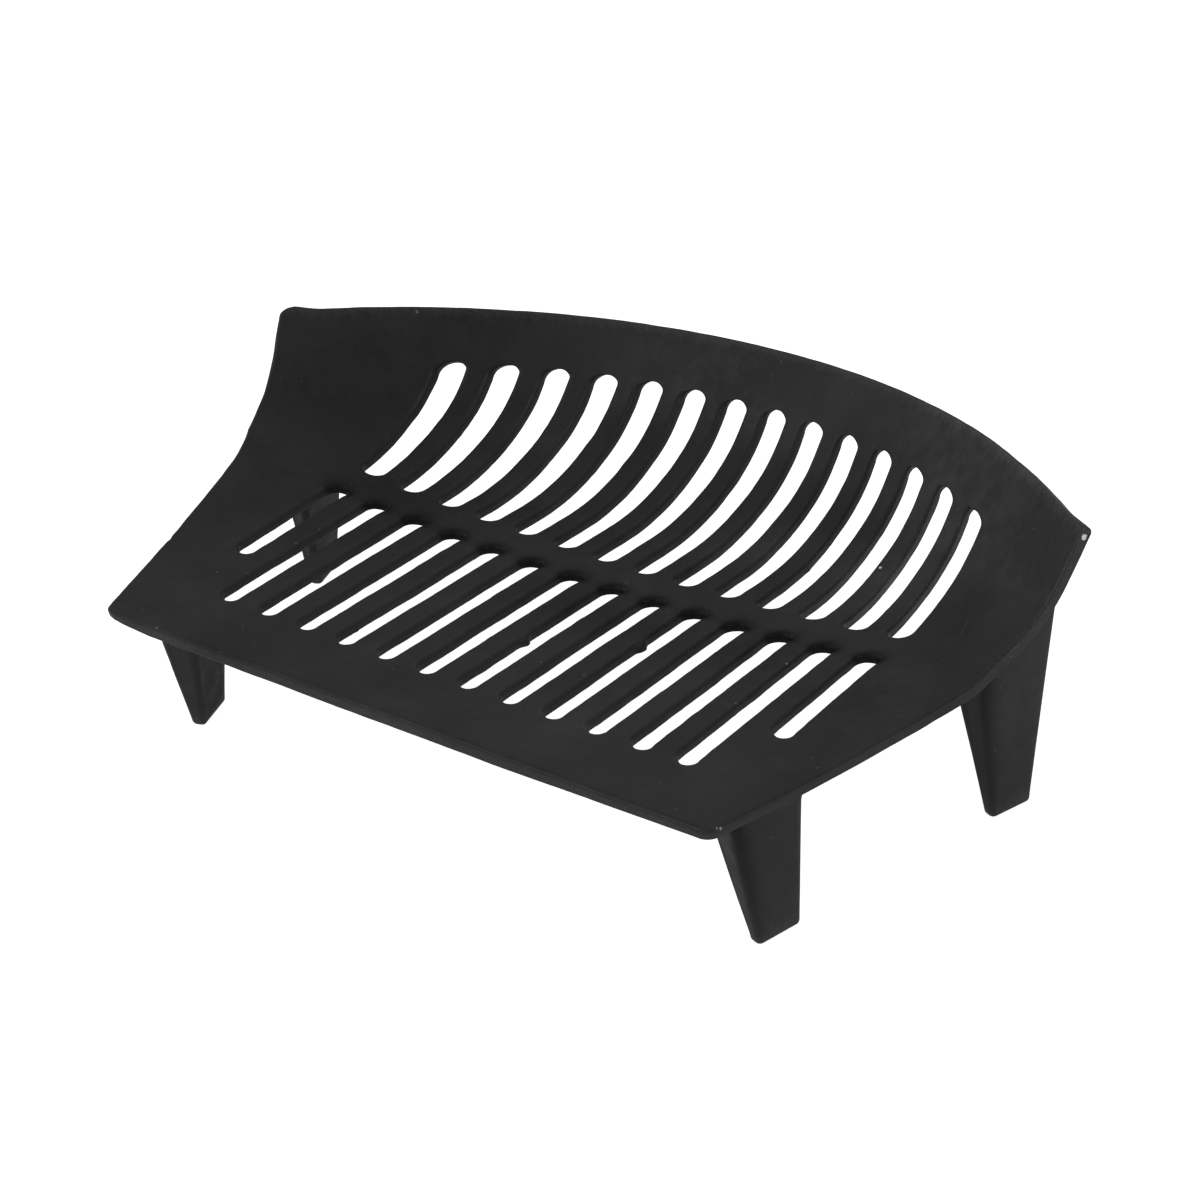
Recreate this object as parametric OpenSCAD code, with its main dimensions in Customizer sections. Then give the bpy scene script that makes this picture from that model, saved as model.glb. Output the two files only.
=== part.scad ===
// Free-standing log grate: one slotted, curved iron bed on four tapered legs.
// Z up, the feet stand on Z = 0. X runs across the grate. The straight back
// edge is on the -Y side and the raised, bowed front is on the +Y side.
// The origin is on the ground, under the middle of the outline.

/* [Bed outline] */
// Length of the straight back edge
back_edge = 286; // [278:1:292]
// How much each side flares out over the first 100 mm of depth
side_flare = 30.5; // [28:0.5:33]
// Curvature of each side, as a change of flare over 100 mm
side_curve = 0.5; // [0:0.25:1]
// Easing of the flare near the bowed front
side_ease = 0.65; // [0:0.05:1]
// Depth from the back edge to the middle of the front rim, along the slope's plan
rim_depth = 263.2; // [259:0.1:267]
// How far the front bows back at 100 mm from the middle
bow_depth = 24.15; // [22:0.05:26]
// How much the bow flattens out towards the corners, at 100 mm from the middle
bow_ease = 0.3; // [0:0.1:0.5]
// How much less the rim reaches out, at 100 mm from the middle
rim_fall = 0.63; // [0.3:0.01:0.9]
// How much less its corners reach out on top of that, at 100 mm from the middle
rim_ease = 0.6; // [0.3:0.1:0.8]
// How much further the two front corners reach out, as short ears of the rim
rim_ear = 2; // [0:0.25:3]
// Radius of the two back corners
corner_r = 5; // [2:0.5:6]

/* [Bed profile] */
// Height of the floor's top face above the ground at the back edge
floor_h = 70.7; // [66:0.1:76]
// Slope of the floor from back to front, in degrees
floor_slope = -4.6; // [-6:0.1:-2]
// Where the floor starts to curve up, measured from the back edge in the middle
bend_start = 172.75; // [168:0.25:178]
// Radius of the lower part of the upturned front
bend_r1 = 103; // [90:1:115]
// Angle at which the front takes its tighter radius, in degrees
bend_mid = 23.9; // [20:0.1:30]
// Radius of the upper part of the upturned front
bend_r2 = 52; // [46:1:60]
// Angle of the straight lip above the upper radius, in degrees
rim_angle = 47.4; // [44:0.1:52]
// Distance over which the floor changes from straight to fully bowed
blend_len = 127; // [115:1:135]
// How much the front rises at 100 mm from the middle
side_lift = 5.95; // [4.5:0.05:7]
// How much the front's corners rise on top of that, at 100 mm from the middle
corner_lift = 0.3; // [0.1:0.05:0.5]
// Thickness of the plate
plate_t = 4.5; // [4:0.25:5.5]

/* [Slots] */
// Number of slots in each row
slot_n = 14; // [14:1:14]
// Distance between neighbouring slots
slot_pitch = 20; // [19:0.25:21]
// Width of the floor slots at the top face
floor_slot_w = 10; // [9:0.25:11]
// Width of the front slots at the top face
front_slot_w = 12; // [11:0.25:12.5]
// How far the slots' end walls lean from upright towards square to the plate
wall_lean = 0.75; // [0:0.05:1]
// How much wider every floor slot is at the underside
floor_slot_draft = 0.75; // [0:0.25:1.5]
// How much narrower every front slot is at the underside
front_slot_draft = 1.25; // [0:0.25:2]
// Start of the floor slots, from the back edge
floor_slot_start = 31; // [28:0.5:34]
// How much later the first and the last floor slot start
outer_slot_inset = 31; // [26:0.5:34]
// End of the floor slots, from the back edge
floor_slot_end = 129.35; // [127:0.05:132]
// Start of the front slots, from the back edge
front_slot_start = 143.85; // [142:0.05:147]
// End of the front slots, measured along the bowed depth
front_slot_end = 248.4; // [245:0.1:250]
// How far the cross band bows back at 100 mm from the middle
band_bow = 1.3; // [0:0.1:2]

/* [Legs] */
// Radius of the legs' upright corners at the top
leg_corner_top = 3; // [1.5:0.25:4]
// Radius of the legs' upright corners at the foot
leg_corner_foot = 2.5; // [1:0.25:2.5]
// Rounding under each foot
foot_round = 1; // [0.5:0.25:1.5]

/* [Hidden] */
iron = [0.13, 0.13, 0.135];

// ---- shape of the bed ----
// The top face is z = F(s) + lift, where s is the depth with the bow taken out.
half_back = back_edge/2;
a0 = floor_slope;
c1y = bend_start - bend_r1*sin(a0);
c1z = floor_h + tan(a0)*bend_start + bend_r1*cos(a0);
mid_s = c1y + bend_r1*sin(bend_mid);
mid_z = c1z - bend_r1*cos(bend_mid);
c2y = mid_s - bend_r2*sin(bend_mid);
c2z = mid_z + bend_r2*cos(bend_mid);
lip_s = c2y + bend_r2*sin(rim_angle);
lip_z = c2z - bend_r2*cos(rim_angle);

function bow(x) = bow_depth*pow(x/100, 2) - bow_ease*pow(x/100, 4);
function lift(x) = side_lift*pow(x/100, 2) + corner_lift*pow(x/100, 4);
function rim_drop(x) = rim_fall*pow(x/100, 2) + rim_ease*pow(x/100, 4);
function fade(y) = min(1, max(0, y/blend_len));
function bent(y, x) = y + bow(x)*fade(y);
function profile_z(s) =
    s < bend_start ? floor_h + tan(a0)*s :
    s < mid_s ? c1z - sqrt(pow(bend_r1, 2) - pow(s - c1y, 2)) :
    s < lip_s ? c2z - sqrt(pow(bend_r2, 2) - pow(s - c2y, 2)) :
    lip_z + tan(rim_angle)*(s - lip_s);
function top_z(x, y) = profile_z(bent(y, x)) + lift(x)*fade(y);
function slope_x(x, y) = top_z(x + 0.25, y)*2 - top_z(x - 0.25, y)*2;
function slope_y(x, y) = top_z(x, y + 0.25)*2 - top_z(x, y - 0.25)*2;
function normal(x, y) =
    let (n = [-slope_x(x, y), -slope_y(x, y), 1]) n/norm(n);
function top_pt(x, y) = [x, y, top_z(x, y)];
function under_pt(x, y) = top_pt(x, y) - plate_t*normal(x, y);
// height of the underside straight above or below a plan position
function under_z(x, y, px, py, n = 5) =
    n == 0 ? under_pt(px, py)[2] :
    let (u = under_pt(px, py)) under_z(x, y, px + x - u[0], py + y - u[1], n - 1);
// A point of the underside below a point of the top face. The pattern is drawn
// upwards, so a slot's walls keep their X, and lean only from back to front
// (k = 0). The outline's walls are square to the plate (k = 1).
function under_at(x, y, k) =
    let (u = under_pt(x, y), a = x + k*(u[0] - x), b = y + (wall_lean + k*(1 - wall_lean))*(u[1] - y))
        [a, b, under_z(a, b, a, b)];

function half_w(y) =
    let (v = y/100) half_back + side_flare*v + side_curve*v*v - side_ease*v*v*v;

// ---- grid over the bed ----
// Columns run from back to front. Each is [kind, slot, place]:
// kind -1 and 1 are the left and right margins, kind 0 is a column of a slot.
arc_n = 6;
margin_n = 6;
function slot_x(i) = (i - (slot_n - 1)/2)*slot_pitch;
cols = concat(
    [for (j = [0:margin_n - 1]) [-1, 0, j/margin_n]],
    [for (i = [0:slot_n - 1]) for (j = [0:arc_n]) [0, i, -cos(180*j/arc_n)]],
    [for (j = [margin_n - 1:-1:0]) [1, slot_n - 1, j/margin_n]]);
nc = len(cols);

// Rows run from side to side. Each is [stretch between key depths, fraction]:
// 0 back margin, 1 floor slots, 2 cross band, 3 front slots, 4 front margin.
back_n = 3;
floor_n = 5;
band_n = 3;
front_n = 12;
rim_n = 4;
rows = concat(
    [[0, 0], [0, -1]],
    [for (j = [1:back_n - 1]) [0, j/back_n]],
    [for (j = [0:floor_n - 1]) [1, j/floor_n]],
    [for (j = [0:band_n - 1]) [2, j/band_n]],
    [for (j = [0:front_n - 1]) [3, 1 - pow(1 - j/front_n, 1.25)]],
    [for (j = [0:rim_n]) [4, j/rim_n]]);
nr = len(rows);

// half width of a slot on one face, from the row it is in
function floor_r(face) = (floor_slot_w + face*floor_slot_draft)/2;
function front_r(face) = (front_slot_w - face*front_slot_draft)/2;
function slot_r(stretch, face) =
    stretch <= 1 ? floor_r(face) : stretch == 2 ? (floor_r(face) + front_r(face))/2 : front_r(face);
function col_x(c, y, r) =
    c[0] == 0 ? slot_x(c[1]) + r*c[2] :
    let (e = abs(slot_x(0)) + r, w = half_w(y))
        c[0]*(c[2] == 0 ? w : w - corner_r - (w - corner_r - e)*(c[2]*margin_n - 1)/(margin_n - 1));
// a key depth that follows the bow, found by repeated substitution
function bowed_y(c, s, r, y, n = 14) =
    n == 0 ? y :
    let (x = col_x(c, y, r)) bowed_y(c, s, r, s - rim_drop(x) - bow(x), n - 1);
function arc_in(c, r) = c[0] == 0 ? r - r*sqrt(max(0, 1 - c[2]*c[2])) : r;
function late(c) = (c[1] == 0 || c[1] == slot_n - 1) ? outer_slot_inset : 0;
function band(c) = band_bow*pow(slot_x(c[1])/100, 2);
// the six key depths of a column on one face
function key_y(c, k, face) =
    let (r1 = floor_r(face), r2 = front_r(face), d1 = floor_slot_w/2 - r1, d2 = front_slot_w/2 - r2)
    k == 0 ? 0 :
    k == 1 ? floor_slot_start + late(c) + d1 + arc_in(c, r1) :
    k == 2 ? floor_slot_end - band(c) - d1 - arc_in(c, r1) :
    k == 3 ? front_slot_start - band(c) + d2 + arc_in(c, r2) :
    k == 4 ? let (y = bowed_y(c, front_slot_end, r2, 150), x = col_x(c, y, r2),
                  f = 1/sqrt(1 + pow(slope_y(x, y), 2)))
             y - (d2 + arc_in(c, r2))*f :
    let (y = bowed_y(c, rim_depth, r2, 150)) y + ear(col_x(c, y, r2));
// the rim's corners reach out over their last 11 mm
function ear(x) = rim_ear*pow(max(0, (abs(x) - 182)/11), 2);
function grid_xy(c, row, face) =
    row[1] < 0 ? [col_x(c, corner_r, floor_r(face)), corner_r] :
    let (y0 = key_y(c, row[0], face), y1 = key_y(c, row[0] + 1, face),
         y = y0 + (y1 - y0)*row[1]) [col_x(c, y, slot_r(row[0], face)), y];
// the back corners are rounded by moving the corner point in
function is_corner(c, row) = c[0] != 0 && c[2] == 0 && row[0] == 0 && row[1] == 0;
function grid_pt(c, row, face) =
    let (g = grid_xy(c, row, face),
         p = is_corner(c, row) ? [g[0] - c[0]*corner_r*0.293, corner_r*0.293] : g)
    face == 0 ? top_pt(p[0], p[1]) : under_at(p[0], p[1], squareness(c, row));
// 1 on the outline, falling to 0 at the slots next to it
function squareness(c, row) =
    max(c[0] == 0 ? 0 : 1 - c[2]*margin_n/(margin_n - 1), row[0] == 4 ? row[1] : row[0] == 0 ? 1 - abs(row[1]) : 0);

grid = [for (face = [0, 1]) [for (row = rows) [for (c = cols) grid_pt(c, row, face)]]];

// cell [r, k] lies between rows r and r + 1 and columns k and k + 1
function open_cell(r, k) =
    r < 0 || k < 0 || r >= nr - 1 || k >= nc - 1 ? true :
    cols[k][0] == 0 && cols[k + 1][0] == 0 && cols[k][1] == cols[k + 1][1]
        && (rows[r][0] == 1 || rows[r][0] == 3);
function id(face, r, k) = face*nr*nc + r*nc + k;
function quad(a, b, c, d) = [[a, b, c], [a, c, d]];
function wall(r0, k0, r1, k1) =
    quad(id(0, r0, k0), id(0, r1, k1), id(1, r1, k1), id(1, r0, k0));
bed_faces = [for (r = [0:nr - 2]) for (k = [0:nc - 2]) if (!open_cell(r, k))
    each concat(
        quad(id(0, r, k), id(0, r + 1, k), id(0, r + 1, k + 1), id(0, r, k + 1)),
        quad(id(1, r, k), id(1, r, k + 1), id(1, r + 1, k + 1), id(1, r + 1, k)),
        open_cell(r - 1, k) ? wall(r, k, r, k + 1) : [],
        open_cell(r, k + 1) ? wall(r, k + 1, r + 1, k + 1) : [],
        open_cell(r + 1, k) ? wall(r + 1, k + 1, r + 1, k) : [],
        open_cell(r, k - 1) ? wall(r + 1, k, r, k) : [])];
bed_points = [for (f = grid) for (row = f) each row];

// the outline's middle, so that the origin is under it
mid_y = (min([for (p = bed_points) p[1]]) + max([for (p = bed_points) p[1]]))/2;

// ---- legs ----
// Plan corners of each leg, listed outer back, outer front, inner front, inner
// back, for the leg on the +X side.
rear_top = [[139.2, 17.4], [155.6, 39.5], [131.5, 55.5], [122.4, 23.4]];
rear_foot = [[140.2, 29.8], [146, 50.6], [139.6, 50.8], [133.9, 32]];
front_top = [[174.5, 131.1], [189.6, 157.4], [165, 172.7], [160, 129.3]];
front_foot = [[172.7, 140.2], [179.4, 159.2], [172.3, 160.5], [167, 142.7]];

// a plan outline with rounded corners, as points
function round_corner(a, b, c, r) =
    let (u = (a - b)/norm(a - b), v = (c - b)/norm(c - b),
         half = acos(u*v)/2, m = (u + v)/norm(u + v), o = b + m*r/sin(half),
         s = atan2(-u[0]*v[1] + u[1]*v[0], 1) > 0 ? 1 : -1,
         sweep = 180 - 2*half,
         start = atan2((b + u*r/tan(half) - o)[1], (b + u*r/tan(half) - o)[0]))
    [for (j = [0:4]) o + r*[cos(start + s*sweep*j/4), sin(start + s*sweep*j/4)]];
function rounded(q, r) =
    [for (i = [0:3]) each round_corner(q[(i + 3)%4], q[i], q[(i + 1)%4], r)];
function centre(q) = (q[0] + q[1] + q[2] + q[3])/4;
function toward(ring, c, f) = [for (p = ring) c + (p - c)*f];

module leg(top_q, foot_q) {
    t = rounded(top_q, leg_corner_top);
    f = rounded(foot_q, leg_corner_foot);
    n = len(t);
    ct = centre(top_q);
    cf = centre(foot_q);
    fi = rounded([for (p = foot_q) p - foot_round*(p - cf)/norm(p - cf)*1.4], leg_corner_foot - 0.5);
    // rings from the sole up the sides and in over the top, which follows the
    // underside of the bed
    rings = concat(
        [[for (p = fi) [p[0], p[1], 0]]],
        [[for (p = f) [p[0], p[1], foot_round]]],
        [for (s = [1, 0.67, 0.33]) [for (p = toward(t, ct, s)) [p[0], p[1], under_z(p[0], p[1], p[0], p[1])]]]);
    m = len(rings);
    pts = concat([for (ring = rings) each ring], [[ct[0], ct[1], under_z(ct[0], ct[1], ct[0], ct[1])]]);
    faces = concat(
        [[for (i = [0:n - 1]) i]],
        [for (j = [0:m - 2]) for (i = [0:n - 1])
            each quad(j*n + i, (j + 1)*n + i, (j + 1)*n + (i + 1)%n, j*n + (i + 1)%n)],
        [for (i = [0:n - 1]) [(m - 1)*n + i, m*n, (m - 1)*n + (i + 1)%n]]);
    polyhedron(points = pts, faces = faces, convexity = 4);
}

module centred() { translate([0, -mid_y, 0]) children(); }
module other_side() { mirror([1, 0, 0]) children(); }

module grate_bed() { color(iron) centred() polyhedron(points = bed_points, faces = bed_faces, convexity = 10); }
module rear_leg_right() { color(iron) centred() leg(rear_top, rear_foot); }
module rear_leg_left() { color(iron) other_side() centred() leg(rear_top, rear_foot); }
module front_leg_right() { color(iron) centred() leg(front_top, front_foot); }
module front_leg_left() { color(iron) other_side() centred() leg(front_top, front_foot); }

grate_bed();
rear_leg_left();
rear_leg_right();
front_leg_left();
front_leg_right();
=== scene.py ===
import math
import bpy
import numpy as np
from mathutils import Matrix, Vector
from mathutils.geometry import delaunay_2d_cdt


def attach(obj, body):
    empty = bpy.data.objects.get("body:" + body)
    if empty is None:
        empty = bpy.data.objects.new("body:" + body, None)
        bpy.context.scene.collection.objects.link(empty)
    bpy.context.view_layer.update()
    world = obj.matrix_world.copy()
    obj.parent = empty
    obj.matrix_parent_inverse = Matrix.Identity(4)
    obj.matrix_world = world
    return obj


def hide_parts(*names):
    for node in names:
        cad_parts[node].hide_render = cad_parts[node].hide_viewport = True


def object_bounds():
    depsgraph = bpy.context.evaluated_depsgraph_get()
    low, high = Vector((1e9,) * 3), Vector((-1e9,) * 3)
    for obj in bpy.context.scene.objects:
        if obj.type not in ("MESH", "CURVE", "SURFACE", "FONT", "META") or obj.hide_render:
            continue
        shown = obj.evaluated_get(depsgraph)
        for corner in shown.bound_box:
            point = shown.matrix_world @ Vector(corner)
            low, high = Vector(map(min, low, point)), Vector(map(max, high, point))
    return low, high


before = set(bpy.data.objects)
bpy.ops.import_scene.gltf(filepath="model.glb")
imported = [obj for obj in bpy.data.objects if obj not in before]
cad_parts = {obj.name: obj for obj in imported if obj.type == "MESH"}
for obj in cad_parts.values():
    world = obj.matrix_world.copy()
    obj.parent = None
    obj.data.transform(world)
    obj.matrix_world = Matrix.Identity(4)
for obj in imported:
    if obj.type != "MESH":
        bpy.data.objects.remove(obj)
cad_low, cad_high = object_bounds()

# ---------------------------------------------------------------- dimensions
# Millimetres. X runs across, Y is the depth from the straight back edge.
BACK_EDGE, SIDE_FLARE, SIDE_CURVE, SIDE_EASE = 286.0, 30.5, 0.5, 0.65
RIM_DEPTH, BOW_DEPTH, BOW_EASE, RIM_FALL, RIM_EASE = 263.2, 24.15, 0.3, 0.63, 0.6
FLOOR_H, FLOOR_SLOPE, BEND_START, BEND_R1, BEND_MID, BEND_R2, RIM_ANGLE = 70.7, -4.6, 172.75, 103.0, 23.9, 52.0, 47.4
BLEND_LEN, SIDE_LIFT, CORNER_LIFT, PLATE_T, CORNER_R = 127.0, 5.95, 0.3, 4.5, 5.0
SLOT_N, PITCH, FLOOR_W, FRONT_W = 14, 20.0, 10.0, 12.0
WALL_LEAN, FLOOR_DRAFT, FRONT_DRAFT = 0.75, 0.75, 1.25
FLOOR_START, OUTER_INSET, FLOOR_END, FRONT_START, FRONT_END, BAND_BOW = 31.0, 31.0, 129.35, 143.85, 248.4, 1.3

rad = math.radians
A0 = rad(FLOOR_SLOPE)
C1Y = BEND_START - BEND_R1 * math.sin(A0)
C1Z = FLOOR_H + math.tan(A0) * BEND_START + BEND_R1 * math.cos(A0)
MID_S = C1Y + BEND_R1 * math.sin(rad(BEND_MID))
MID_Z = C1Z - BEND_R1 * math.cos(rad(BEND_MID))
C2Y = MID_S - BEND_R2 * math.sin(rad(BEND_MID))
C2Z = MID_Z + BEND_R2 * math.cos(rad(BEND_MID))
LIP_S = C2Y + BEND_R2 * math.sin(rad(RIM_ANGLE))
LIP_Z = C2Z - BEND_R2 * math.cos(rad(RIM_ANGLE))


def bow(x):
    return BOW_DEPTH * (x / 100) ** 2 - BOW_EASE * (x / 100) ** 4


def lift(x):
    return SIDE_LIFT * (x / 100) ** 2 + CORNER_LIFT * (x / 100) ** 4


def fade(y):
    return np.clip(y / BLEND_LEN, 0, 1)


def profile_z(s):
    z0 = FLOOR_H + math.tan(A0) * s
    z1 = C1Z - np.sqrt(np.maximum(BEND_R1 ** 2 - (s - C1Y) ** 2, 1e-6))
    z2 = C2Z - np.sqrt(np.maximum(BEND_R2 ** 2 - (s - C2Y) ** 2, 1e-6))
    z3 = LIP_Z + math.tan(rad(RIM_ANGLE)) * (s - LIP_S)
    return np.where(s < BEND_START, z0, np.where(s < MID_S, z1, np.where(s < LIP_S, z2, z3)))


def top_z(x, y):
    return profile_z(y + bow(x) * fade(y)) + lift(x) * fade(y)


def normal(x, y):
    e = 0.25
    sx = (top_z(x + e, y) - top_z(x - e, y)) / (2 * e)
    sy = (top_z(x, y + e) - top_z(x, y - e)) / (2 * e)
    n = np.stack([-sx, -sy, np.ones_like(sx)], -1)
    return n / np.linalg.norm(n, axis=-1, keepdims=True)


def top_pt(p):
    return np.stack([p[..., 0], p[..., 1], top_z(p[..., 0], p[..., 1])], -1)


def under_pt(p):
    return top_pt(p) - PLATE_T * normal(p[..., 0], p[..., 1])


def under_z(p):
    """Height of the underside at plan positions p."""
    q = p.copy()
    for _ in range(7):
        q = q + (p - under_pt(q)[..., :2])
    return under_pt(q)[..., 2]


def low_z(p):
    """Height of the cast underside: the back edge is a little thicker than the rest."""
    lip = np.interp(p[..., 0], [-143, -137, -122, 50, 110, 136], [-0.7, -0.4, 0.85, 0.85, 0.1, -0.35])
    return under_z(p) - lip * np.clip(1 - p[..., 1] / 24, 0, 1) ** 2


def under_at(p, k):
    u = under_pt(p)
    a = p[..., 0] + k * (u[..., 0] - p[..., 0])
    b = p[..., 1] + (WALL_LEAN + k * (1 - WALL_LEAN)) * (u[..., 1] - p[..., 1])
    ab = np.stack([a, b], -1)
    return np.concatenate([ab, low_z(ab)[..., None]], -1)


def half_w(y):
    v = y / 100
    return BACK_EDGE / 2 + SIDE_FLARE * v + SIDE_CURVE * v * v - SIDE_EASE * v ** 3


def rim_y(x):
    v2 = (x / 100) ** 2
    return RIM_DEPTH - RIM_FALL * v2 - RIM_EASE * v2 * v2 - bow(x)


_mid = (under_pt(np.array([[0.0, 0.0], [0.0, RIM_DEPTH]])))[:, 1]
MID_Y = float(_mid.mean())


# ---------------------------------------------------------------- smooth noise
def lattice(seed, n=64):
    return np.random.RandomState(seed).rand(n, n, n) * 2 - 1


_tables = {}


def noise3(p, seed):
    """Smooth noise from -1 to 1 at points p, given in wavelengths."""
    if seed not in _tables:
        _tables[seed] = lattice(seed, 32)
    t = _tables[seed]
    i = np.floor(p).astype(int)
    f = p - i
    f = f * f * f * (f * (f * 6 - 15) + 10)
    out = 0
    for dx in (0, 1):
        for dy in (0, 1):
            for dz in (0, 1):
                w = (f[..., 0] if dx else 1 - f[..., 0]) * (f[..., 1] if dy else 1 - f[..., 1]) * (f[..., 2] if dz else 1 - f[..., 2])
                out = out + w * t[(i[..., 0] + dx) % 32, (i[..., 1] + dy) % 32, (i[..., 2] + dz) % 32]
    return out


def cast_shift(p):
    """How far the real casting strays from the drawing at points p."""
    out = np.zeros_like(p)
    for axis in range(3):
        out[..., axis] = 0.13 * noise3(p / 28.0, 11 + axis) + 0.05 * noise3(p / 9.0, 21 + axis)
    return out


def wobble(length_along, seed, amp=0.16):
    """Waviness of a cast edge along its length."""
    q = np.stack([length_along / 6.5, np.full_like(length_along, seed * 3.7), np.full_like(length_along, 1.3)], -1)
    r = np.stack([length_along / 2.4, np.full_like(length_along, seed * 1.9), np.full_like(length_along, 7.1)], -1)
    return amp * noise3(q, 31) + amp * 0.45 * noise3(r, 32)


# ---------------------------------------------------------------- loops
def seg(a, b, step):
    n = max(1, int(round(np.linalg.norm(np.array(b) - np.array(a)) / step)))
    t = np.arange(n) / n
    return np.array(a) + (np.array(b) - np.array(a)) * t[:, None]


def bend_in(p0, p1, p2, n):
    """A round corner from p0 to p2, with the sharp corner at p1."""
    t = (np.arange(n) / n)[:, None]
    a, b = p0 + (p1 - p0) * 0.56, p2 + (p1 - p2) * 0.56
    return (1 - t) ** 3 * p0 + 3 * (1 - t) ** 2 * t * a + 3 * (1 - t) * t * t * b + t ** 3 * p2


def ear(x):
    """How much further the rim reaches out at its two corners."""
    right = 2.0 * np.clip((x - 174.0) / 18.0, 0, 1.1) ** 1.6
    left = 1.25 * np.clip((-x - 180.0) / 8.5, 0, 1) ** 1.5
    return right + left


def side_pt(sign, y):
    y = np.asarray(y, float)
    return np.stack([sign * half_w(y), y], -1)


def rim_pt(x):
    x = np.asarray(x, float)
    return np.stack([x, rim_y(x) + ear(x)], -1)


def corner_x(sign):
    """Where the rim meets the side."""
    x = 192.0
    for _ in range(60):
        x = float(half_w(float(rim_y(sign * x) + ear(np.array(sign * x)))))
    return sign * x


def outline_loop():
    """The outline in plan, counter-clockwise seen from above, starting on the back edge."""
    hb = BACK_EDGE / 2
    parts = []
    slope = SIDE_FLARE / 100
    # back edge, left to right
    rc = CORNER_R
    dl = rc * math.tan(rad((90 + math.degrees(math.atan(slope))) / 2 - math.degrees(math.atan(slope))))
    dl = rc * 0.78
    d = math.hypot(slope, 1)
    right_end = np.array([hb - dl, 0.0])
    right_side = np.array([hb + dl * slope / d, dl / d])
    parts.append(seg((-hb + dl, 0), right_end, 1.6))
    parts.append(bend_in(right_end, np.array([hb, 0.0]), right_side, 10))
    # right side, back to front
    cx = corner_x(1)
    cr = rim_pt(cx)
    ys = list(np.linspace(right_side[1], cr[1] - 1.1, 130))
    parts.append(side_pt(1, ys)[:-1])
    p0 = side_pt(1, ys[-1])
    p2 = rim_pt(cx - 1.5)
    parts.append(bend_in(p0, cr, p2, 8))
    # rim, right to left
    cxl = corner_x(-1)
    cl = rim_pt(cxl)
    xs = np.linspace(cx - 1.5, cxl + 3.6, 260)
    parts.append(rim_pt(xs)[:-1])
    q0, q2 = rim_pt(cxl + 3.6), side_pt(-1, cl[1] - 2.4)
    parts.append(bend_in(q0, cl, q2, 10))
    # left side, front to back
    left_side = np.array([-hb - dl * slope / d, dl / d])
    ys = np.linspace(cl[1] - 2.4, left_side[1], 128)
    parts.append(side_pt(-1, ys)[:-1])
    parts.append(bend_in(left_side, np.array([-hb, 0.0]), np.array([-hb + dl, 0.0]), 10))
    return np.concatenate(parts)


def slot_x(i):
    return (i - (SLOT_N - 1) / 2) * PITCH


CAP = 16  # segments of a slot's round end


def slot_loop(i, row, face):
    """A slot in plan on one face, counter-clockwise from its back right corner. Each face has the same number of points."""
    x0 = slot_x(i)
    late = OUTER_INSET if i in (0, SLOT_N - 1) else 0.0
    band = BAND_BOW * (x0 / 100) ** 2
    if row == "floor":
        r = (FLOOR_W + face * FLOOR_DRAFT) / 2
        ya, yb = FLOOR_START + late + FLOOR_W / 2, FLOOR_END - band - FLOOR_W / 2
        n = max(8, int((yb - ya) / 1.6))
    else:
        r = (FRONT_W - face * FRONT_DRAFT) / 2
        ya = FRONT_START - band + FRONT_W / 2
        yb = None
        n = 66
    th = np.linspace(-math.pi, 0, CAP + 1)  # near cap, left to right
    near = np.stack([x0 + r * np.cos(th), ya + r * np.sin(th)], -1)
    if row == "floor":
        th = np.linspace(0, math.pi, CAP + 1)
        far = np.stack([x0 + r * np.cos(th), yb + r * np.sin(th)], -1)
        span = yb - ya
        t = np.arange(1, n) / n
        right = np.stack([np.full(n - 1, x0 + r), ya + span * t], -1)
        left = np.stack([np.full(n - 1, x0 - r), yb - span * t], -1)
    else:
        th = np.linspace(0, math.pi, CAP + 1)
        xs = x0 + r * np.cos(th)
        yo = np.full_like(xs, 150.0)
        yo = FRONT_END - RIM_FALL * (xs / 100) ** 2 - RIM_EASE * (xs / 100) ** 4 - bow(xs)
        e = 0.25
        sy = (top_z(xs, yo + e) - top_z(xs, yo - e)) / (2 * e)
        f = 1 / np.sqrt(1 + sy ** 2)
        d2 = FRONT_W / 2 - r
        # flat-topped round end that follows the bow
        ins = r - r * np.sqrt(np.maximum(0, 1 - np.cos(th) ** 2))
        far = np.stack([xs, yo - (d2 + ins) * f], -1)
        t = np.arange(1, n) / n
        t = 1 - (1 - t) ** 1.25
        right = np.stack([np.full(n - 1, x0 + r), ya + (far[0, 1] - ya) * t], -1)
        left = np.stack([np.full(n - 1, x0 - r), far[-1, 1] + (ya - far[-1, 1]) * (1 - (1 - t[::-1]))], -1)
        left = np.stack([np.full(n - 1, x0 - r), ya + (far[-1, 1] - ya) * t[::-1]], -1)
    return np.concatenate([near, right, far, left])


def closed_tangent(p):
    t = np.roll(p, -1, 0) - np.roll(p, 1, 0)
    return t / np.maximum(np.linalg.norm(t, axis=1, keepdims=True), 1e-9)


def along(p):
    d = np.linalg.norm(np.roll(p, -1, 0) - p, axis=1)
    return np.concatenate([[0], np.cumsum(d)[:-1]])


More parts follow.
